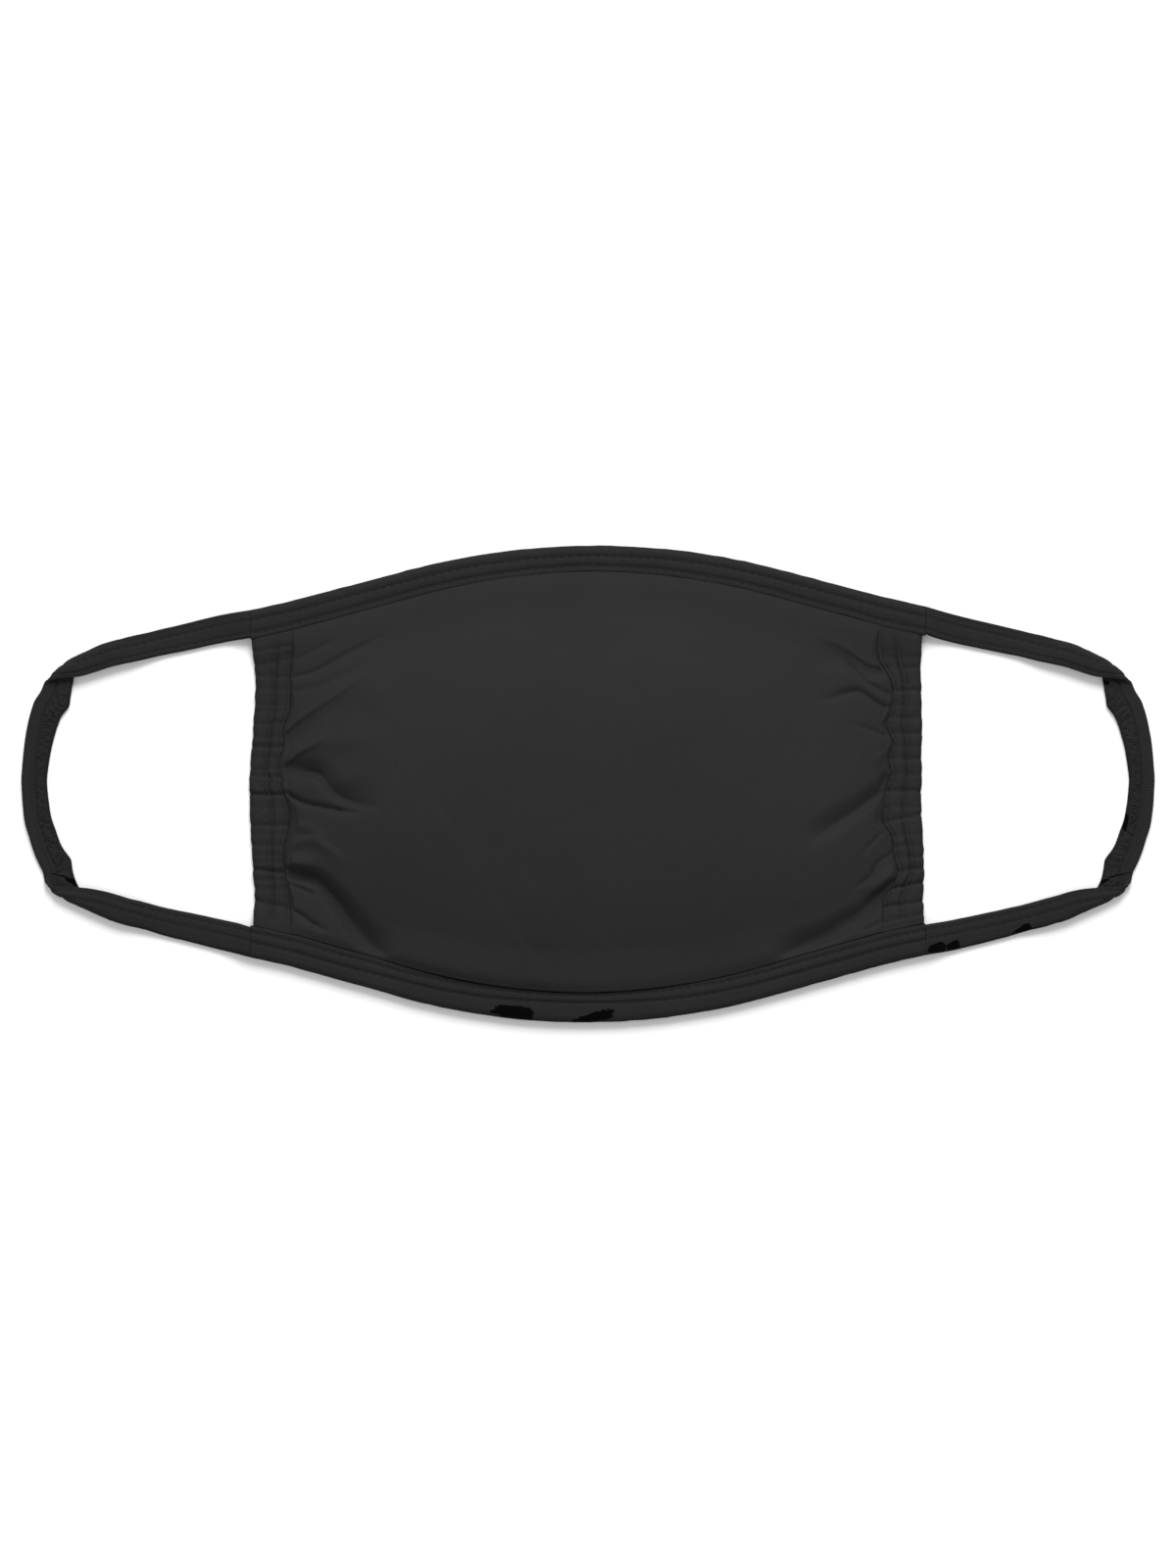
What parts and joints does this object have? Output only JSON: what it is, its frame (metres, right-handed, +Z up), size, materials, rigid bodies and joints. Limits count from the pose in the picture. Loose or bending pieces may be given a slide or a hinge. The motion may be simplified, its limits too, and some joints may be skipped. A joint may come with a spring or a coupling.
{
  "type": "cloth face mask",
  "caption": "Soft knit face mask lying flat: domed panel, puckered side hems, and a folded binding that runs on past the corners as two ear loops.",
  "frame": {"origin": "on the surface the mask lies on, below the middle of its outline", "axes": "+X across the mask from one ear loop to the other, +Y from the chin edge to the nose edge, +Z up out of the front face"},
  "size_m": [0.3524, 0.1482, 0.015],
  "materials": {
    "panel_knit": "matte fine jersey knit",
    "hem_knit": "matte gathered jersey knit",
    "binding_rib": "matte rib knit, twin needle stitched"
  },
  "bodies": {
    "root": {"panel": "panel_knit", "side_hem_left": "hem_knit", "side_hem_right": "hem_knit", "top_binding": "binding_rib", "bottom_binding": "binding_rib", "ear_loop_left": "binding_rib", "ear_loop_right": "binding_rib"}
  },
  "joints": []
}
